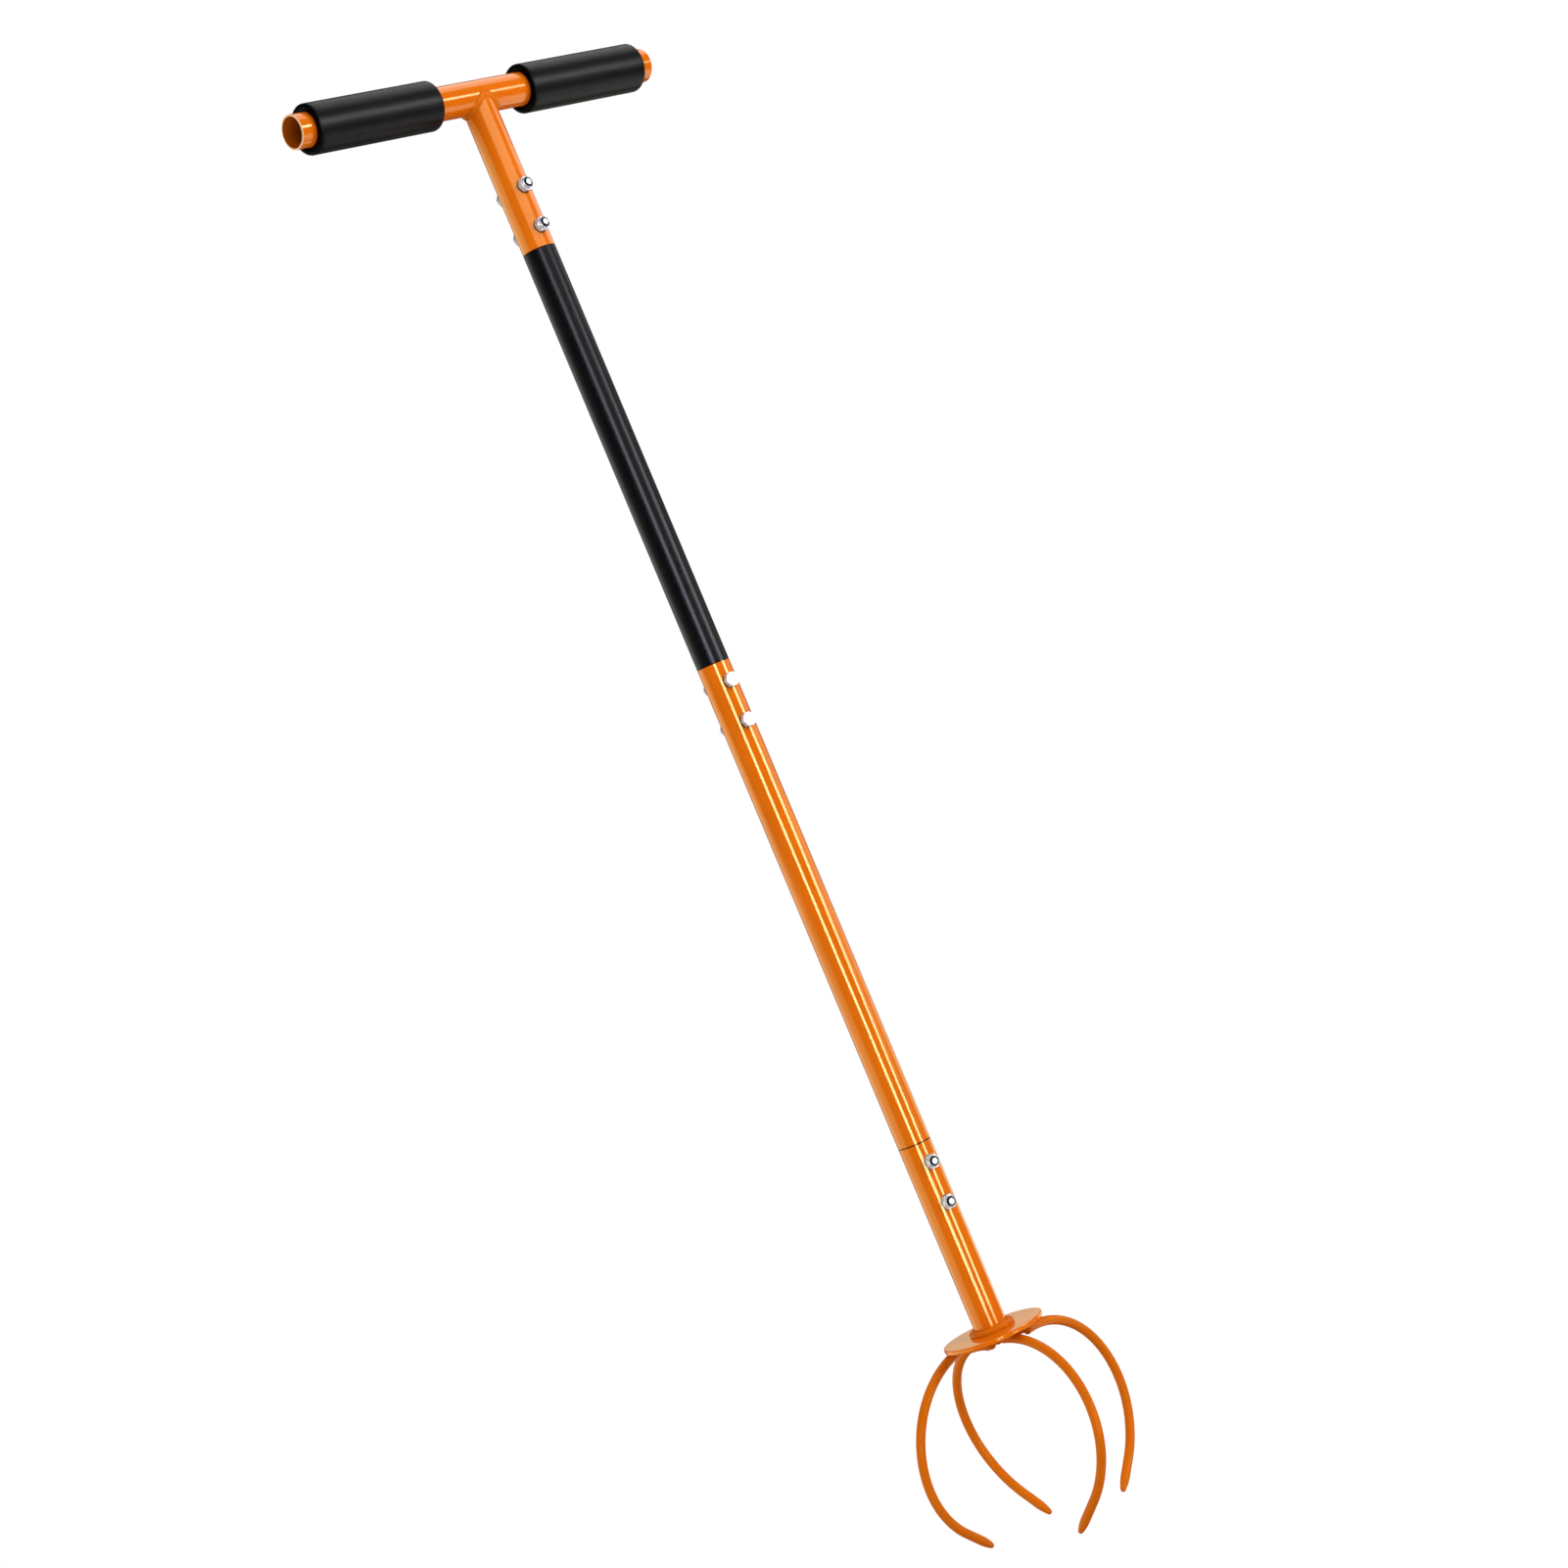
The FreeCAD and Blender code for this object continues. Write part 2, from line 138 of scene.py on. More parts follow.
def orange_enamel_of(name, dark, light, roughness, specular_level):
    """Orange stoved enamel, glossier or duller: darker at the seams, painted shade round the bolts.
    """
    # It is sprayed on and baked. It flows out with a faint orange peel of about 6 mm and a
    # slightly uneven depth of colour over some centimetres. The crossbar's sawn rims are coloured
    # pale, a painted highlight where their sharp edges catch the light. Inside the crossbar it is a
    # dull overspray whose colour fades from the open ends into near black: bare, dark steel, and
    # painted shade deeper in the bore.
    finish, tree, shader = new_finish(name, **{
        "IOR": 1.52, "Specular Tint": hex_colour("#F4F8B4"), "Specular IOR Level": specular_level})
    place = add_node(tree, "ShaderNodeTexCoord").outputs["Object"]
    along_bar, _, height = add_node(tree, "ShaderNodeSeparateXYZ", {"Vector": place}).outputs
    from_middle = add_node(tree, "ShaderNodeMath", {0: along_bar}, operation="ABSOLUTE").outputs[0]
    from_axis = bar_axis_distance(tree, place)
    dark_seam_and_nut_shade = hex_colour("#2A1206")

    # Inside the bore: overspray thinning to bare steel, and painted shade deeper in.
    depth = add_node(tree, "ShaderNodeMapRange", {
        "Value": from_middle, "From Min": bar_end - 34 * mm, "From Max": bar_end - 4 * mm})
    overspray_and_bore_shade = add_node(tree, "ShaderNodeMix", {
        0: depth.outputs["Result"], 6: hex_colour("#140803"), 7: hex_colour("#C8640C"),
    }, data_type="RGBA").outputs[2]

    # Each layer's colour, the distance it depends on, and how strong it is from near to far
    layers = []
    for seam in (claw_seam, middle_seam, handle_seam):
        gap = add_node(tree, "ShaderNodeMath", {0: height, 1: seam}, operation="SUBTRACT")
        gap = add_node(tree, "ShaderNodeMath", {0: gap.outputs[0]}, operation="ABSOLUTE")
        layers.append((dark_seam_and_nut_shade, gap.outputs[0], 0.3 * mm, 0.7 * mm, 0.9, 0.0))
    layers += [
        # painted shade round each bolt, in the gap under its head or nut
        (dark_seam_and_nut_shade, bolt_distance(tree, place, height), 5.5 * mm, 6.0 * mm, 0.85, 0.0),
        (overspray_and_bore_shade, from_axis, tube_bore, tube_bore + 0.3 * mm, 1.0, 0.0),
        # painted highlight on the crossbar's sawn rims
        (hex_colour("#FFDDB0"), from_middle, bar_end - 0.5 * mm, bar_end - 0.1 * mm, 0.0, 0.8),
    ]
    colour = add_node(tree, "ShaderNodeMix", {
        0: grain_between(tree, 45 * mm, 0.0, 1.0), 6: hex_colour(dark), 7: hex_colour(light),
    }, data_type="RGBA").outputs[2]
    for layer, distance, near, far, at_near, at_far in layers:
        share = add_node(tree, "ShaderNodeMapRange", {
            "Value": distance, "From Min": near, "From Max": far,
            "To Min": at_near, "To Max": at_far})
        colour = add_node(tree, "ShaderNodeMix", {
            0: share.outputs["Result"], 6: colour, 7: layer}, data_type="RGBA").outputs[2]
    tree.links.new(colour, shader.inputs["Base Color"])

    dullness = add_node(tree, "ShaderNodeMapRange", {
        "Value": from_axis, "From Min": tube_bore, "From Max": tube_bore + 0.3 * mm,
        "To Min": 0.5, "To Max": roughness})
    tree.links.new(dullness.outputs["Result"], shader.inputs["Roughness"])

    # The dust nibs are drawn a millimetre wide, coarser than real ones, so that they show.
    peel = add_node(tree, "ShaderNodeBump", {
        "Height": grain(tree, 6 * mm, detail=0.0), "Distance": 0.004 * mm})
    nibs = add_node(tree, "ShaderNodeMapRange", {
        "Value": grain(tree, 1.1 * mm, detail=0.0), "From Min": 0.82, "From Max": 0.94})
    relief = add_node(tree, "ShaderNodeBump", {
        "Height": nibs.outputs["Result"], "Distance": 0.002 * mm, "Normal": peel.outputs[0]})
    tree.links.new(relief.outputs[0], shader.inputs["Normal"])
    return finish


orange_enamel = orange_enamel_of("orange_stoved_enamel", "#D86604", "#E26E08", 0.06, 0.5)
# Over weld metal and over the scaly skin of hot-rolled rod the same enamel stays duller.
duller_enamel = orange_enamel_of("orange_enamel_over_scale", "#C86004", "#D26808", 0.28, 0.12)


def painted(node, finish):
    """Give a CAD piece its finish."""
    nodes[node].data.materials.clear()
    nodes[node].data.materials.append(finish)


painted("crossbar_tube", orange_enamel)


# The handle stem. A short tube coped to the crossbar's curve and welded on all round with a
# narrow, smooth fillet that runs over the bar's flanks in a flat cap at either ear.
painted("stem_tube", orange_enamel)

fillet_width = 2.7 * mm
fillet_swell = 0.5 * mm
flank_widening = 0.3
root_depth = 0.6 * mm
ear_cap = 0.8 * mm
ear_flare = 0.4 * mm
ear_gap = 3
lift = 0.05 * mm
face_steps = 6
half_turn_steps = 60
ear_steps = 12
toe_crease_angle = 50


def fillet_section(angle, fan=None):
    """One closed section of the weld: its toes on the bar and the stem, its swell, its root."""
    # Over an ear the sections stay in one place and fan out flat on the bar's flank.
    out = Vector((math.cos(angle), math.sin(angle), 0))
    down = Vector((0, 0, -abs(out.x)))
    centre = Vector((0, 0, crossbar_height))
    root = centre + (out + down) * tube_radius
    normal = (out + Vector((0, out.y, down.z))).normalized()
    run = fillet_width * (1 + flank_widening * abs(out.y))
    stem_toe = root + out * lift - Vector((0, 0, run))
    if fan is None:
        bar_toe = root + Vector((math.copysign(run, out.x), out.y * lift, down.z * lift))
    else:
        turn = ear_cap * math.cos(fan) / tube_radius
        bar_toe = centre + Vector((
            run * math.sin(fan), math.copysign(math.cos(turn), out.y) * (tube_radius + lift),
            math.sin(turn) * (tube_radius + lift)))
        stem_toe.x += ear_flare * math.sin(fan)
    points = []
    for step in range(face_steps + 1):
        share = step / face_steps
        swell = math.sqrt(4 * share * (1 - share))
        points.append(bar_toe.lerp(stem_toe, share) + normal * fillet_swell * swell)
    return points + [root - normal * root_depth]


def fillet_shape():
    """All the sections in order: round one half of the stem, over its ear, and round the other."""
    sections = []
    for side in (1, -1):
        for step in range(half_turn_steps + 1):
            turn = ear_gap - 90 * side + (180 - 2 * ear_gap) * step / half_turn_steps
            sections.append(fillet_section(math.radians(turn)))
        for step in range(ear_steps + 1):
            fan = math.radians(90 - 180 * step / ear_steps) * side
            sections.append(fillet_section(math.pi / 2 * side, fan))
    shape = bmesh.new()
    rings = [[shape.verts.new(point) for point in section] for section in sections]
    for first, second in zip(rings, rings[1:] + rings[:1]):
        for count in range(len(first)):
            following = (count + 1) % len(first)
            shape.faces.new((first[count], first[following], second[following], second[count]))
    bmesh.ops.recalc_face_normals(shape, faces=shape.faces)
    return shape


def as_mesh(shape, name, finish, sharp_angle=None):
    """A smooth-shaded mesh, with creases kept where faces meet at more than an angle."""
    for face in shape.faces:
        face.smooth = True
    if sharp_angle:
        for edge in shape.edges:
            edge.smooth = edge.calc_face_angle(0) < math.radians(sharp_angle)
    mesh = bpy.data.meshes.new(name)
    shape.to_mesh(mesh)
    shape.free()
    mesh.materials.append(finish)
    return mesh


def set_up(name, data):
    """A new object in the scene, at the origin."""
    made = bpy.data.objects.new(name, data)
    bpy.context.scene.collection.objects.link(made)
    return made


def handed_over(piece, slot, *replaced):
    """Let a finished piece stand for its CAD nodes."""
    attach(piece, "root")
    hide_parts(*replaced)


stem_bead = set_up(
    "stem_weld", as_mesh(fillet_shape(), "stem_weld", duller_enamel, toe_crease_angle))
handed_over(stem_bead, "orange_paint", "stem_weld_bead")


# The grips. Two sleeves of closed-cell foam, moulded with a smooth skin, cut square and
# pushed on over the crossbar with a little air and soap. The cut ends show open cells.
grip_inner_end = 43 * mm
grip_outer_end = 155 * mm
grip_radius = 18.25 * mm
grip_bore = 12.6 * mm
grip_edge = 1.8 * mm
bore_chamfer = 0.4 * mm
barrel_give = 0.08 * mm
corner_points = 7
barrel_steps = 24
grip_segments = 96

# Black foam rubber. The skin is a dull satin that shows its closed cells as pores about
# 0.5 mm across, with a faint sheen at glancing angles and hand-sized unevenness. On the cut
# ends the cells lie open and swallow the light.
grip_foam, tree, shader = new_finish("black_closed_cell_foam", **{
    "IOR": 1.5, "Sheen Roughness": 0.5})
place = add_node(tree, "ShaderNodeTexCoord").outputs["Object"]
along_grip = add_node(tree, "ShaderNodeSeparateXYZ", {"Vector": place}).outputs["X"]
along_grip = add_node(tree, "ShaderNodeMath", {0: along_grip}, operation="ABSOLUTE").outputs[0]
outer_cut = add_node(tree, "ShaderNodeMapRange", {
    "Value": along_grip, "From Min": grip_outer_end - 0.5 * mm,
    "From Max": grip_outer_end - 0.15 * mm})
inner_cut = add_node(tree, "ShaderNodeMapRange", {
    "Value": along_grip, "From Min": grip_inner_end + 0.15 * mm,
    "From Max": grip_inner_end + 0.5 * mm, "To Min": 1.0, "To Max": 0.0})
cut = add_node(tree, "ShaderNodeMath", {
    0: outer_cut.outputs["Result"], 1: inner_cut.outputs["Result"]}, operation="MAXIMUM")
cut = cut.outputs[0]
skin = add_node(tree, "ShaderNodeMix", {
    0: grain(tree, 18 * mm), 6: hex_colour("#070708"), 7: hex_colour("#0D0D0F"),
}, data_type="RGBA").outputs[2]
foam_colour = add_node(tree, "ShaderNodeMix", {
    0: cut, 6: skin, 7: hex_colour("#010102")}, data_type="RGBA").outputs[2]
gloss = add_node(tree, "ShaderNodeMapRange", {"Value": cut, "To Min": 0.16, "To Max": 0.02})
sheen = add_node(tree, "ShaderNodeMapRange", {"Value": cut, "To Min": 0.008, "To Max": 0.0})
cells =add_node(tree, "ShaderNodeTexVoronoi", {"Vector": place, "Scale": 1 / (0.55 * mm)})
pores = add_node(tree, "ShaderNodeMapRange", {
    "Value": cells.outputs["Distance"], "From Max": 0.6})
dents = add_node(tree, "ShaderNodeBump", {
    "Height": grain(tree, 14 * mm), "Distance": 0.12 * mm})
relief = add_node(tree, "ShaderNodeBump", {
    "Height": pores.outputs["Result"], "Distance": 0.012 * mm, "Normal": dents.outputs[0]})
tree.links.new(foam_colour, shader.inputs["Base Color"])
tree.links.new(gloss.outputs["Result"], shader.inputs["Specular IOR Level"])
tree.links.new(sheen.outputs["Result"], shader.inputs["Sheen Weight"])
tree.links.new(grain_between(tree, 3 * mm, 0.34, 0.42), shader.inputs["Roughness"])
tree.links.new(relief.outputs[0], shader.inputs["Normal"])


def turned(profile, segments, closed=False, radius_at=None):
    """A shape turned about Z from (radius, height) points, with poles where the radius is 0."""
    shape = bmesh.new()
    rings = []
    for radius, height in profile:
        if radius == 0:
            rings.append([shape.verts.new((0, 0, height))])
            continue
        ring = []
        for count in range(segments):
            angle = math.tau * count / segments
            reach = radius_at(radius, height, angle) if radius_at else radius
            ring.append(shape.verts.new((reach * math.cos(angle), reach * math.sin(angle), height)))
        rings.append(ring)
    pairs = list(zip(rings, rings[1:]))
    if closed:
        pairs.append((rings[-1], rings[0]))
    for first, second in pairs:
        for count in range(segments):
            following = (count + 1) % segments
            corners = [first[count % len(first)], first[following % len(first)],
                       second[following % len(second)], second[count % len(second)]]
            shape.faces.new(dict.fromkeys(corners))
    bmesh.ops.recalc_face_normals(shape, faces=shape.faces)
    return shape


def grip_profile():
    """Bore, softly rounded ends, and a barrel that draws in by 0.02 mm towards them."""
    length = grip_outer_end - grip_inner_end
    points = [(grip_bore, bore_chamfer), (grip_bore + bore_chamfer, 0.0)]
    for step in range(corner_points):
        angle = math.pi / 2 * step / (corner_points - 1)
        points.append((
            grip_radius - grip_edge * (1 - math.sin(angle)), grip_edge * (1 - math.cos(angle))))
    one_end = list(points)
    for step in range(1, barrel_steps):
        share = step / barrel_steps
        give = barrel_give * (math.sin(math.pi * share) - 1) * 4 * share * (1 - share)
        points.append((grip_radius + give, grip_edge + (length - 2 * grip_edge) * share))
    return points + [(radius, length - height) for radius, height in reversed(one_end)]


for side, name in ((-1, "left"), (1, "right")):
    sleeve = turned(grip_profile(), grip_segments, closed=True)
    across = Matrix.Rotation(math.radians(90) * side, 4, "Y")
    along = Matrix.Translation((grip_inner_end * side, 0, crossbar_height))
    bmesh.ops.transform(sleeve, matrix=along @ across, verts=sleeve.verts)
    grip = set_up(name + "_foam_grip", as_mesh(sleeve, name + "_foam_grip", grip_foam))
    handed_over(grip, "grip_foam", name + "_grip")


# The upper shaft. A steel tube swaged down at both ends to plug into the tubes above and
# below it. It is powder coated black: satin, with the fine tight grain that the powder leaves.
# The real grain is about 0.2 mm, and it is drawn at 0.45 mm so that it shows.
black_powder_coat, tree, shader = new_finish("black_powder_coat", **{
    "IOR": 1.5, "Specular Tint": hex_colour("#EEF2FF"), "Specular IOR Level": 0.16})
coat_colour = add_node(tree, "ShaderNodeMix", {
    0: grain(tree, 30 * mm), 6: hex_colour("#070708"), 7: hex_colour("#0C0C0E"),
}, data_type="RGBA").outputs[2]
powder = add_node(tree, "ShaderNodeBump", {
    "Height": grain(tree, 0.45 * mm, detail=0.0), "Distance": 0.0012 * mm})
tree.links.new(coat_colour, shader.inputs["Base Color"])
tree.links.new(grain_between(tree, 6 * mm, 0.26, 0.3), shader.inputs["Roughness"])
tree.links.new(powder.outputs[0], shader.inputs["Normal"])
painted("upper_shaft_tube", black_powder_coat)


# The middle shaft and the claw's socket tube. Two more lengths of the same tube in orange
# enamel. The socket tube's lower end is cut square and welded to the claw plate.
painted("middle_shaft_tube", orange_enamel)
painted("claw_socket_tube", orange_enamel)


# The joints' fasteners. Two M6 hexagon bolts across each joint, forged and thread-rolled,
# with lock nuts whose crimped collar holds a nylon insert. The steel is bright zinc plated.
bolts_per_joint = 2
bolt_radius = 3 * mm
bolt_end = tube_radius - 32 * mm
end_face_radius = 2.1 * mm
thread_pitch = 1.0 * mm
thread_depth = 0.55 * mm
thread_length = 9 * mm
thread_steps = 72
oil_and_shade_edge = 0.2 * mm
head_height = 4 * mm
across_flats = 10 * mm
hexagon_corner = across_flats / 2 / math.cos(math.pi / 6)
chamfer_width = 0.75 * mm
chamfer_height = 0.45 * mm
seat_chamfer_width = 0.7 * mm
seat_chamfer_height = 0.4 * mm
nut_hexagon_height = 4.4 * mm
nut_height = 6 * mm
nut_bore = 3.05 * mm
collar_radius = 4.5 * mm
collar_lip = 3.8 * mm
pocket_radius = 4.02 * mm
pocket_depth = 1.8 * mm
insert_radius = 3.98 * mm
insert_bore = 3.02 * mm
insert_height = 1.45 * mm
insert_sink = 0.32 * mm
hexagon_segments = 72
round_segments = 48
crease_angle = 28

# Bright zinc plate over drawn steel. It is a cold white metal, a little cloudy from the
# passivation, with the drawing marks of the bar as streaks, which are finer on the real thing
# and drawn at 1.2 mm so that they show. The thread and the end chamfer are darkened: oil that
# stays in the thread, and painted shade in its grooves.
zinc_plate, tree, shader = new_finish("bright_zinc_plate", Metallic=0.7)
streaks = grain(tree, 1.2 * mm, detail=3.0, stretch=(1, 1, 5))
oil_and_shade = add_node(tree, "ShaderNodeAttribute", attribute_name="thread_oil_and_shade").outputs["Fac"]
plate_colour = add_node(tree, "ShaderNodeMix", {
    0: grain(tree, 2.5 * mm), 6: hex_colour("#DCDFE8"), 7: hex_colour("#EAECF2"),
}, data_type="RGBA").outputs[2]
zinc_colour = add_node(tree, "ShaderNodeMix", {
    0: oil_and_shade, 6: plate_colour, 7: hex_colour("#12151F")}, data_type="RGBA").outputs[2]
cloudiness = add_node(tree, "ShaderNodeMapRange", {
    "Value": streaks, "From Min": 0.3, "From Max": 0.7, "To Min": 0.46, "To Max": 0.58})
scratches = add_node(tree, "ShaderNodeBump", {"Height": streaks, "Distance": 0.006 * mm})
tree.links.new(zinc_colour, shader.inputs["Base Color"])
tree.links.new(cloudiness.outputs["Result"], shader.inputs["Roughness"])
tree.links.new(scratches.outputs[0], shader.inputs["Normal"])

# Nylon 66, moulded, dyed near black. It is waxy and semi-matt, and marked by the thread.
nylon, tree, shader = new_finish("black_nylon", IOR=1.53)
nylon_colour = add_node(tree, "ShaderNodeMix", {
    0: grain(tree, 1 * mm), 6: hex_colour("#0D0F16"), 7: hex_colour("#1A1D26"),
}, data_type="RGBA").outputs[2]
tree.links.new(nylon_colour, shader.inputs["Base Color"])
tree.links.new(grain_between(tree, 0.8 * mm, 0.38, 0.55), shader.inputs["Roughness"])


def hexagon_limit(radius, height, angle):
    """Keeps a turned ring inside a hexagon."""
    from_flat = (angle % (math.tau / 6)) - math.tau / 12
    return min(radius, across_flats / 2 / math.cos(from_flat))


def chamfered(top, steps):
    """The chamfer that runs up to a hexagon's top."""
    return [(
        hexagon_corner - chamfer_width * step / steps, top - chamfer_height * (1 - step / steps)
    ) for step in range(steps + 1)]


def bolt_shape():
    """Hexagon head with its chamfer, plain shank, and a rolled thread at the end."""
    top = tube_radius + head_height
    head = [(0, tube_radius), (hexagon_corner, tube_radius)] + chamfered(top, 5) + [(0, top)]
    shape = turned(head, hexagon_segments, radius_at=hexagon_limit)

    thread_top = bolt_end + thread_length
    shank = [(0, tube_radius), (bolt_radius, tube_radius)]
    for step in range(thread_steps + 1):
        shank.append((bolt_radius, thread_top - thread_length * step / thread_steps))
    shank.append((0, bolt_end))

    def thread(radius, height, angle):
        """Radius of the thread, fading in at its top and chamfered at the bolt's end."""
        turn = (height / thread_pitch - angle / math.tau) % 1.0
        groove = 1 - abs(2 * turn - 1)
        fade = min(1.0, max(0.0, (thread_top - height) / thread_pitch))
        chamfer = end_face_radius + height - bolt_end
        return min(radius - thread_depth * groove * fade, chamfer)

    threaded = turned(shank, round_segments, radius_at=thread)
    extra = bpy.data.meshes.new("thread")
    threaded.to_mesh(extra)
    threaded.free()
    shape.from_mesh(extra)
    bpy.data.meshes.remove(extra)
    # Darkens the thread and the end chamfer: oil, and painted shade in the grooves.
    oil_and_shade = shape.verts.layers.float.new("thread_oil_and_shade")
    for vert in shape.verts:
        past_face = (vert.co.xy.length - end_face_radius) / oil_and_shade_edge
        vert[oil_and_shade] = min(1.0, max(0.0, past_face)) if vert.co.z < thread_top else 0.0
    return shape


def nut_shape():
    """Chamfered hexagon, collar crimped over the insert, and the bore through them."""
    seat = tube_radius
    shoulder = seat + nut_hexagon_height
    top = seat + nut_height
    profile = [(nut_bore, seat)]
    for step in range(5):
        profile.append((
            hexagon_corner - seat_chamfer_width * (1 - step / 4),
            seat + seat_chamfer_height * step / 4))
    # The collar rises to its crimp and lip, and inside them lies the insert's pocket
    profile += chamfered(shoulder, 4) + [
        (collar_radius + 0.15 * mm, shoulder), (collar_radius, shoulder + 0.15 * mm),
        (collar_radius, top - 0.7 * mm), (collar_radius - 0.12 * mm, top - 0.35 * mm),
        (collar_radius - 0.35 * mm, top - 0.1 * mm), (collar_radius - 0.6 * mm, top),
        (collar_lip + 0.05 * mm, top - 0.05 * mm), (collar_lip, top - 0.3 * mm),
        (pocket_radius, top - 0.3 * mm), (pocket_radius, top - pocket_depth),
        (nut_bore, top - pocket_depth),
    ]
    return turned(profile, hexagon_segments, closed=True, radius_at=hexagon_limit)


def ring_shape():
    """Nylon insert, pressed up into a soft lip round the bolt."""
    top = tube_radius + nut_height - insert_sink
    profile = [
        (insert_bore, top - insert_height), (insert_radius, top - insert_height),
        (insert_radius, top - 0.1 * mm), (collar_lip, top), (3.3 * mm, top + 0.04 * mm),
        (3.1 * mm, top - 0.02 * mm), (insert_bore, top - 0.15 * mm),
    ]
    return turned(profile, round_segments, closed=True)


def joint_tree():
    """Repeats one fastener along the shaft, at each bolt of a joint."""
    tree = bpy.data.node_groups.new("joint_fasteners", "GeometryNodeTree")
    for name, kind in (("Fastener", "Geometry"), ("Count", "Int"), ("Spacing", "Vector"),
                       ("Finish", "Material")):
        tree.interface.new_socket(name, in_out="INPUT", socket_type="NodeSocket" + kind)
    tree.interface.new_socket("Fasteners", in_out="OUTPUT", socket_type="NodeSocketGeometry")
    given = add_node(tree, "NodeGroupInput").outputs
    row = add_node(tree, "GeometryNodeMeshLine", {
        "Count": given["Count"], "Offset": given["Spacing"]}, mode="OFFSET")
    placed = add_node(tree, "GeometryNodeInstanceOnPoints", {
        "Points": row.outputs["Mesh"], "Instance": given["Fastener"]})
    real = add_node(tree, "GeometryNodeRealizeInstances", {"Geometry": placed.outputs["Instances"]})
    plated = add_node(tree, "GeometryNodeSetMaterial", {
        "Geometry": real.outputs["Geometry"], "Material": given["Finish"]})
    add_node(tree, "NodeGroupOutput", {"Fasteners": plated.outputs["Geometry"]})
    return tree


def grown(name, source, tree, values):
    """The mesh that a node tree makes from a source object, as a piece at the origin."""
    modifier = source.modifiers.new("growth", "NODES")
    modifier.node_group = tree
    for item in tree.interface.items_tree:
        if item.in_out == "INPUT" and item.name in values:
            modifier[item.identifier] = values[item.name]
    bpy.context.view_layer.update()
    result = source.evaluated_get(bpy.context.evaluated_depsgraph_get())
    mesh = bpy.data.meshes.new_from_object(result)
    source.modifiers.remove(modifier)
    bpy.data.objects.remove(source)
    return set_up(name, mesh)


joint_fasteners = joint_tree()

for joint, (lowest, turn, head_side) in joints.items():
    for kind, shape, facing, finish, slot in (
        ("bolts", bolt_shape(), head_side, zinc_plate, "zinc_steel"),
        ("lock_nuts", nut_shape(), -head_side, zinc_plate, "zinc_steel"),
        ("nylon_rings", ring_shape(), -head_side, nylon, "nylon"),
    ):
        swing = Matrix.Rotation(math.radians(turn), 4, "Z")
        tip = Matrix.Rotation(math.radians(90) * facing, 4, "X")
        place = Matrix.Translation((0, 0, lowest)) @ swing @ tip
        bmesh.ops.transform(shape, matrix=place, verts=shape.verts)
        name = joint + "_" + kind
        single = set_up(name + "_one", as_mesh(shape, name + "_one", finish, crease_angle))
        pieces = grown(name + "_pair", single, joint_fasteners, {
            "Count": bolts_per_joint, "Spacing": (0, 0, bolt_spacing), "Finish": finish})
        handed_over(pieces, slot, name)


# The claw plate. A disc punched from 3.5 mm plate, its edges rolled over by the punch, with
# the socket tube welded on top by a full rounded bead that the enamel has softened.
painted("claw_plate", orange_enamel)

plate_top = 150 * mm
foot_bead_radius = 2.9 * mm
foot_bead_ring = 14.3 * mm
foot_bead_rise = 1.2 * mm
foot_bead_points = 160
foot_unevenness = 0.14
ripple_pitch = 1.3 * mm
steps_per_ripple = 6
lump_length = 7 * mm


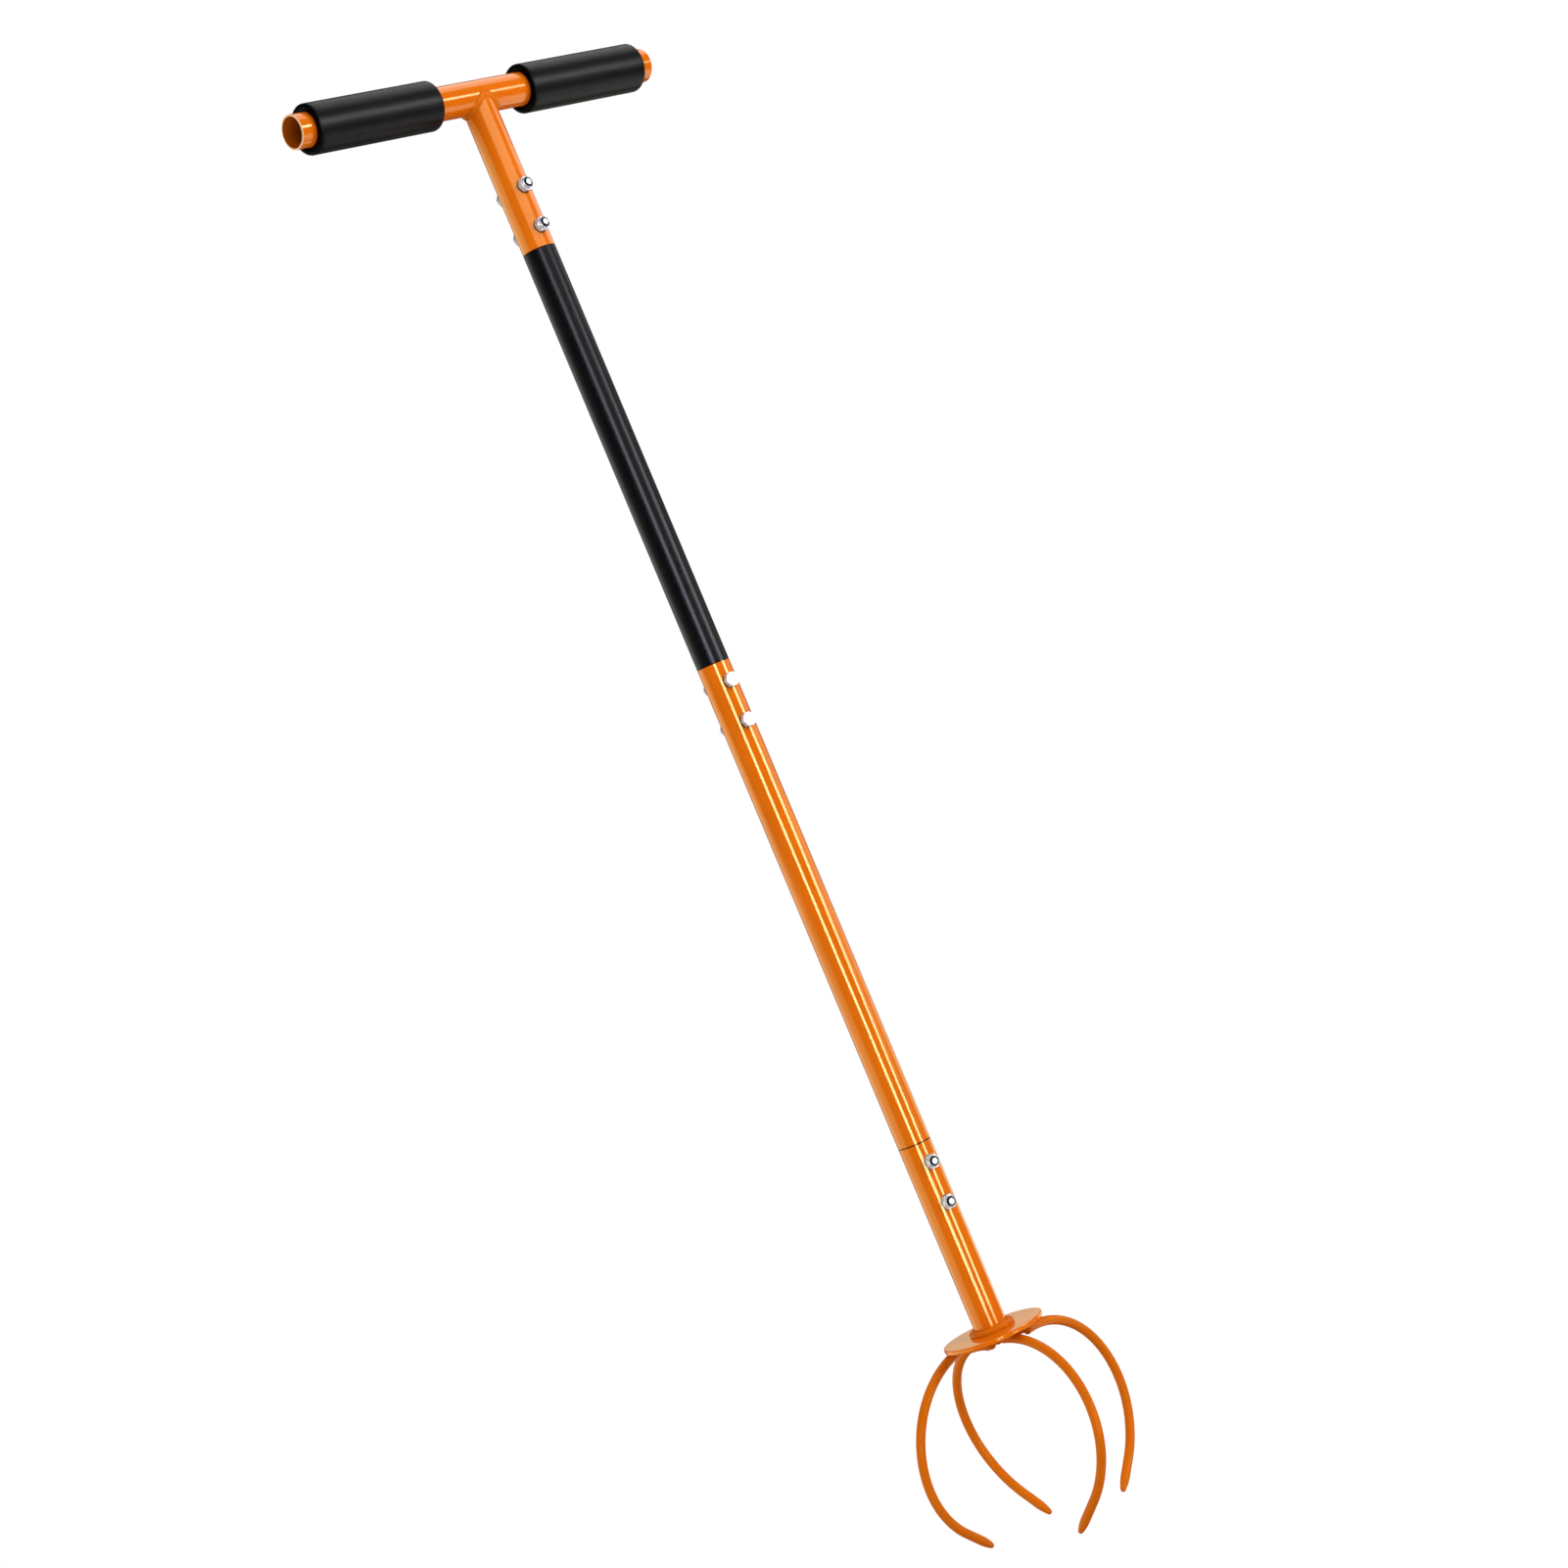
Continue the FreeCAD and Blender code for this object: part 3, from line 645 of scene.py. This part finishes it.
def weld_bead_tree():
    """Sweeps a round, slightly uneven bead, with faint ripples, along each curve it is given."""
    tree = bpy.data.node_groups.new("weld_bead", "GeometryNodeTree")
    for name, kind in (("Path", "Geometry"), ("Bead Radius", "Float"), ("Ripple Pitch", "Float"),
                       ("Ripple Share", "Float"), ("Uneven Share", "Float"),
                       ("Finish", "Material")):
        tree.interface.new_socket(name, in_out="INPUT", socket_type="NodeSocket" + kind)
    tree.interface.new_socket("Bead", in_out="OUTPUT", socket_type="NodeSocketGeometry")
    given = add_node(tree, "NodeGroupInput").outputs
    step = add_node(tree, "ShaderNodeMath", {
        0: given["Ripple Pitch"], 1: float(steps_per_ripple)}, operation="DIVIDE")
    path = add_node(tree, "GeometryNodeResampleCurve", {
        "Curve": given["Path"], "Length": step.outputs[0]}, mode="LENGTH")
    along = add_node(tree, "GeometryNodeSplineParameter").outputs["Length"]
    turns = add_node(tree, "ShaderNodeMath", {
        0: along, 1: given["Ripple Pitch"]}, operation="DIVIDE")
    phase = add_node(tree, "ShaderNodeMath", {
        0: turns.outputs[0], 1: math.pi}, operation="MULTIPLY")
    wave = add_node(tree, "ShaderNodeMath", {0: phase.outputs[0]}, operation="SINE")
    crest = add_node(tree, "ShaderNodeMath", {0: wave.outputs[0]}, operation="ABSOLUTE")
    swell = add_node(tree, "ShaderNodeMath", {
        0: crest.outputs[0], 1: given["Ripple Share"], 2: 1.0}, operation="MULTIPLY_ADD")
    lumps = add_node(tree, "ShaderNodeTexNoise", {
        "Vector": add_node(tree, "GeometryNodeInputPosition").outputs["Position"],
        "Scale": 1 / lump_length, "Detail": 0.0})
    lean = add_node(tree, "ShaderNodeMath", {
        0: lumps.outputs["Fac"], 1: 0.5}, operation="SUBTRACT")
    lumpy = add_node(tree, "ShaderNodeMath", {
        0: lean.outputs[0], 1: given["Uneven Share"], 2: swell.outputs[0],
    }, operation="MULTIPLY_ADD")
    girth = add_node(tree, "ShaderNodeMath", {
        0: given["Bead Radius"], 1: add_node(tree, "GeometryNodeInputRadius").outputs["Radius"],
    }, operation="MULTIPLY")
    width = add_node(tree, "ShaderNodeMath", {
        0: lumpy.outputs[0], 1: girth.outputs[0]}, operation="MULTIPLY")
    outline = add_node(tree, "GeometryNodeCurvePrimitiveCircle", {"Resolution": 16, "Radius": 1.0})
    swept = add_node(tree, "GeometryNodeCurveToMesh", {
        "Curve": path.outputs["Curve"], "Profile Curve": outline.outputs["Curve"],
        "Scale": width.outputs[0], "Fill Caps": True})
    smooth = add_node(tree, "GeometryNodeSetShadeSmooth", {"Geometry": swept.outputs["Mesh"]})
    real = add_node(tree, "GeometryNodeRealizeInstances", {"Geometry": smooth.outputs[0]})
    coated = add_node(tree, "GeometryNodeSetMaterial", {
        "Geometry": real.outputs["Geometry"], "Material": given["Finish"]})
    add_node(tree, "NodeGroupOutput", {"Bead": coated.outputs["Geometry"]})
    return tree


weld_bead = weld_bead_tree()


def bead_along(name, paths, closed, radius, ripple_share, uneven_share):
    """A weld bead along paths of points, each with how much fatter the bead is there."""
    curve = bpy.data.curves.new(name + "_path", "CURVE")
    curve.dimensions = "3D"
    for points in paths:
        spline = curve.splines.new("POLY")
        spline.points.add(len(points) - 1)
        for point, (x, y, z, fatness) in zip(spline.points, points):
            point.co = (x, y, z, 1.0)
            point.radius = fatness
        spline.use_cyclic_u = closed
    return grown(name, set_up(name + "_path", curve), weld_bead, {
        "Bead Radius": radius, "Ripple Pitch": ripple_pitch, "Ripple Share": ripple_share,
        "Uneven Share": uneven_share, "Finish": duller_enamel})


foot = []
for count in range(foot_bead_points):
    angle = math.tau * count / foot_bead_points
    foot.append((foot_bead_ring * math.cos(angle), foot_bead_ring * math.sin(angle),
                 plate_top + foot_bead_rise, 1.0))
foot_bead = bead_along("socket_weld", [foot], True, foot_bead_radius, 0.0, foot_unevenness)
handed_over(foot_bead, "orange_paint", "socket_weld_bead")


# The tines. Four 7 mm round rods, bent cold to one radius, their points forged to a blunt
# round end, welded to the underside of the plate along both sides of each root.
for tine in ("left_tine", "back_tine", "front_tine", "right_tine"):
    painted(tine, duller_enamel)

plate_bottom = 146.5 * mm
plate_radius = 38.5 * mm
plate_margin = 3 * mm
weld_side = 4.1 * mm
weld_depth = 1.8 * mm
weld_round_end = 0.9 * mm
weld_end_steps = 8
tine_weld_radius = 2.25 * mm
tine_ripple = 0.004
tine_unevenness = 0.2

# Each root's turn and its offset from the shaft's axis, then where its weld begins and ends
# along it, the last three in millimetres
tine_roots = (
    (179.4, -26.7, 11.0, 24.0),
    (85.5, 4.4, -8.0, 24.0),
    (-87.1, -4.7, 11.5, 25.0),
    (6.3, -28.2, 3.0, 22.0),
)
weld_runs = []
for turn, offset, begin, end in tine_roots:
    swing = Matrix.Rotation(math.radians(turn), 3, "Z")
    side_run = [((end - step) * mm, weld_side) for step in range(int(end - begin))]
    round_end = []
    for step in range(weld_end_steps + 1):
        bend = math.pi * step / weld_end_steps
        round_end.append((
            begin * mm - weld_round_end * math.sin(bend), weld_side * math.cos(bend)))
    loop = side_run + round_end + [(x, -y) for x, y in reversed(side_run)]
    run = [swing @ Vector((x, offset * mm + y, 0)) for x, y in loop]
    weld_runs.append([
        (place.x, place.y, plate_bottom - weld_depth, 1.0)
        for place in run if place.length < plate_radius - plate_margin])

# The back rod's root is buried in a heavier run, which shows under the plate's front edge.
# Each of its points is a distance along it and how much fatter it is there.
heavy_depth = 5.0 * mm
heavy_start = -5.6 * mm
heavy_lean = 0.06
heavy_run = ((-0.2, 1.9), (0.2, 2.05), (4.0, 2.15), (9.0, 1.8), (16.0, 1.65), (24.0, 1.9))
weld_runs.append([
    (heavy_start - y * heavy_lean * mm, y * mm, plate_bottom - heavy_depth, fatness)
    for y, fatness in heavy_run])
# A short second pass lies beside the front rod's root.
second_pass_depth = 2.4 * mm
second_pass_fatness = 1.1
second_pass = ((-0.5, -18.0), (2.0, -23.0), (4.0, -27.0))
weld_runs.append([
    (x * mm, y * mm, plate_bottom - second_pass_depth, second_pass_fatness)
    for x, y in second_pass])
tine_welds = bead_along(
    "tine_welds", weld_runs, False, tine_weld_radius, tine_ripple, tine_unevenness)
handed_over(tine_welds, "orange_paint", "tine_weld_beads")


# The studio. A white floor and surroundings, a large soft key lamp at the right, a fill at
# the left and one above, and tall strip lights that the gloss picks up as narrow bands.
photo_width = 1601
focal_length_pixels = 3216.8
camera_place = Vector((-1497.8, -1746.4, 560.8)) * mm
camera_right = Vector((0.697785, -0.602592, -0.387272))
camera_down = Vector((-0.288559, 0.258369, -0.921943))
camera_ahead = Vector((0.655614, 0.755069, 0.006403))
axes = Matrix((camera_right, -camera_down, -camera_ahead)).transposed().to_4x4()
camera = set_up("camera", bpy.data.cameras.new("camera"))
camera.matrix_world = Matrix.Translation(camera_place) @ axes
camera.data.sensor_width = 36.0
camera.data.lens = focal_length_pixels / photo_width * camera.data.sensor_width
camera.data.clip_end = 50.0
bpy.context.scene.camera = camera

towards_camera = Vector((-0.655614, -0.755069, 0)).normalized()
towards_right = Vector((0.755069, -0.655614, 0)).normalized()

# Each lamp's turn from the camera's side towards the right, its distance and height, the
# height that it is aimed at, its width, all in metres, and its power in watts
for name, turn, distance, height, aim_height, width, watts in (
    ("key_lamp", 62, 3.0, 1.9, 0.55, 2.2, 76),
    ("fill_lamp", -55, 3.0, 1.2, 0.55, 2.2, 36),
    ("top_lamp", 180, 1.6, 3.0, 0.5, 2.5, 23),
):
    light = bpy.data.lights.new(name, "AREA")
    light.shape = "SQUARE"
    light.size = width
    light.energy = watts
    angle = math.radians(turn)
    place = (towards_camera * math.cos(angle) + towards_right * math.sin(angle)) * distance
    place.z = height
    lamp = set_up(name, light)
    lamp.location = place
    aim = Vector((0, 0, aim_height)) - place
    lamp.rotation_euler = aim.to_track_quat("-Z", "Y").to_euler()
    lamp.visible_camera = False
    lamp.visible_glossy = False

# The floor is white to the camera and in reflections, and the object's soft shadow shows
# in the part of it that is plain matt white.
floor_reach = 30
shadow_reach = 0.5
white_from = 1.1
floor_mesh = bpy.data.meshes.new("floor")
floor_mesh.from_pydata([
    (-floor_reach, -floor_reach, 0), (floor_reach, -floor_reach, 0),
    (floor_reach, floor_reach, 0), (-floor_reach, floor_reach, 0)], [], [(0, 1, 2, 3)])
floor = set_up("floor", floor_mesh)
floor_paint = bpy.data.materials.new("white_studio_floor")
floor_paint.use_nodes = True
tree = floor_paint.node_tree
tree.nodes.clear()
rays = add_node(tree, "ShaderNodeLightPath").outputs
seen = rays["Is Camera Ray"]
for ray in ("Is Glossy Ray", "Is Transmission Ray"):
    seen = add_node(tree, "ShaderNodeMath", {
        0: seen, 1: rays[ray]}, operation="MAXIMUM").outputs[0]
place = add_node(tree, "ShaderNodeTexCoord").outputs["Object"]
reach = add_node(tree, "ShaderNodeVectorMath", {0: place}, operation="LENGTH")
far = add_node(tree, "ShaderNodeMapRange", {
    "Value": reach.outputs["Value"], "From Min": shadow_reach, "From Max": white_from})
matt = add_node(tree, "ShaderNodeBsdfDiffuse", {"Color": hex_colour("#E0E0E0")})
shadow_part = add_node(tree, "ShaderNodeBsdfDiffuse", {"Color": hex_colour("#808080")})
white_part = add_node(tree, "ShaderNodeEmission", {"Color": (1, 1, 1, 1), "Strength": 0.86})
near = add_node(tree, "ShaderNodeAddShader", {0: shadow_part.outputs[0], 1: white_part.outputs[0]})
beyond = add_node(tree, "ShaderNodeEmission", {"Color": (1, 1, 1, 1), "Strength": 1.0})
white = add_node(tree, "ShaderNodeMixShader", {
    0: far.outputs["Result"], 1: near.outputs[0], 2: beyond.outputs[0]})
both = add_node(tree, "ShaderNodeMixShader", {0: seen, 1: matt.outputs[0], 2: white.outputs[0]})
add_node(tree, "ShaderNodeOutputMaterial", {"Surface": both.outputs[0]})
floor_mesh.materials.append(floor_paint)
floor.visible_glossy = False

# The studio as gloss sees it: dark, with panels of light. Each panel has a colour of light,
# then the two turns that it spans, in degrees from the camera's side towards the right, with
# how soft its sides are, then its two rises above the camera's level, with how soft it is
# below and above, then how bright it is, and how far it slants to the side for each degree
# below that level. The tall strips are white and the wide panels warm.
white_light = (1.0, 1.0, 1.0)
warm_light = (1.0, 0.97, 0.93)
amber_light = (0.85, 1.0, 0.65)
studio_panels = (
    ("first tall strip", white_light, (2, 16, 4.0), (-9.98, 9, 0.06, 1.5), 24.0, 0.0),
    ("second tall strip", white_light, (66, 80, 4.0), (-9.98, 9, 0.06, 1.5), 20.0, 2.6),
    ("right panel", amber_light, (86, 132, 5.0), (-16, 3, 3.0, 1.0), 1.5, -4.0),
    ("left wall, low", amber_light, (-142, -85, 12.0), (-16, 3, 3.0, 0.5), 2.1, 0.0),
    ("left wall, low and near", amber_light, (-85, -58, 12.0), (-16, -2, 3.0, 3.0), 2.1, 0.0),
    ("left wall, middle", white_light, (-142, -90, 12.0), (3, 10.5, 0.5, 0.5), 1.7, 0.0),
    ("left wall, high", amber_light, (-142, -62, 12.0), (10.5, 13.3, 0.5, 0.5), 2.3, 0.0),
    ("upper front panel", warm_light, (2, 66, 8.0), (10.5, 17, 0.5, 1.0), 3.4, 0.0),
    ("upper side panel", warm_light, (96, 145, 6.0), (10.5, 17, 0.5, 1.0), 2.3, 0.0),
    ("narrow panel for the bar", white_light, (75, 88, 4.0), (-4, 5, 4.0, 4.0), 5.5, 0.0),
    ("ceiling panel", warm_light, (92, 165, 6.0), (40, 56, 4.0, 4.0), 2.2, 0.0),
    ("floor glow", warm_light, (86, 158, 6.0), (-54, -36, 6.0, 6.0), 2.2, 0.0),
    ("back wall", amber_light, (165, 195, 5.0), (7.5, 11.5, 1.0, 1.0), 0.75, 0.0),
    ("back wall, other side", amber_light, (-195, -165, 5.0), (7.5, 11.5, 1.0, 1.0), 0.75, 0.0),
)
world = bpy.data.worlds.new("studio")
bpy.context.scene.world = world
world.use_nodes = True
tree = world.node_tree
tree.nodes.clear()
direction = add_node(tree, "ShaderNodeTexCoord").outputs["Generated"]
ahead = add_node(tree, "ShaderNodeVectorMath", {
    0: direction, 1: towards_camera}, operation="DOT_PRODUCT")
aside = add_node(tree, "ShaderNodeVectorMath", {
    0: direction, 1: towards_right}, operation="DOT_PRODUCT")
turn = add_node(tree, "ShaderNodeMath", {
    0: aside.outputs["Value"], 1: ahead.outputs["Value"]}, operation="ARCTAN2")
turn = add_node(tree, "ShaderNodeMath", {0: turn.outputs[0]}, operation="DEGREES").outputs[0]
rise = add_node(tree, "ShaderNodeSeparateXYZ", {0: direction}).outputs["Z"]
rise = add_node(tree, "ShaderNodeMath", {0: rise}, operation="ARCSINE")
rise = add_node(tree, "ShaderNodeMath", {0: rise.outputs[0]}, operation="DEGREES").outputs[0]
below = add_node(tree, "ShaderNodeMath", {0: rise, 1: 0.0}, operation="MINIMUM").outputs[0]

dark_room = (0.1, 0.1, 0.1)
total = dark_room
for name, colour, turns, rises, strength, slant in studio_panels:
    start, end, soft = turns
    low, high, low_soft, high_soft = rises
    straight = add_node(tree, "ShaderNodeMath", {
        0: below, 1: -slant, 2: turn}, operation="MULTIPLY_ADD").outputs[0]
    share = None
    for value, edge, blur, before, after in (
        (straight, start, soft, 0.0, 1.0), (straight, end, soft, 1.0, 0.0),
        (rise, low, low_soft, 0.0, 1.0), (rise, high, high_soft, 1.0, 0.0),
    ):
        side = add_node(tree, "ShaderNodeMapRange", {
            "Value": value, "From Min": edge - blur, "From Max": edge + blur,
            "To Min": before, "To Max": after}, interpolation_type="SMOOTHSTEP").outputs[0]
        share = side if share is None else add_node(
            tree, "ShaderNodeMath", {0: share, 1: side}, operation="MULTIPLY").outputs[0]
    light = [strength * channel for channel in colour]
    total = add_node(tree, "ShaderNodeVectorMath", {
        0: share, 1: light, 2: total}, operation="MULTIPLY_ADD", label=name).outputs[0]

# Matt surfaces get an even grey light from all round, gloss the panels, and the camera white.
rays = add_node(tree, "ShaderNodeLightPath").outputs
room = add_node(tree, "ShaderNodeBackground", {"Color": (1, 1, 1, 1), "Strength": 0.5})
bands = add_node(tree, "ShaderNodeBackground", {"Color": total, "Strength": 1.0})
plain = add_node(tree, "ShaderNodeBackground", {"Color": (1, 1, 1, 1), "Strength": 1.0})
lit = add_node(tree, "ShaderNodeMixShader", {
    0: rays["Is Glossy Ray"], 1: room.outputs[0], 2: bands.outputs[0]})
clear = add_node(tree, "ShaderNodeMath", {
    0: rays["Is Camera Ray"], 1: rays["Is Transmission Ray"]}, operation="MAXIMUM")
seen = add_node(tree, "ShaderNodeMixShader", {
    0: clear.outputs[0], 1: lit.outputs[0], 2: plain.outputs[0]})
add_node(tree, "ShaderNodeOutputWorld", {"Surface": seen.outputs[0]})
bpy.context.scene.view_settings.view_transform = "Standard"
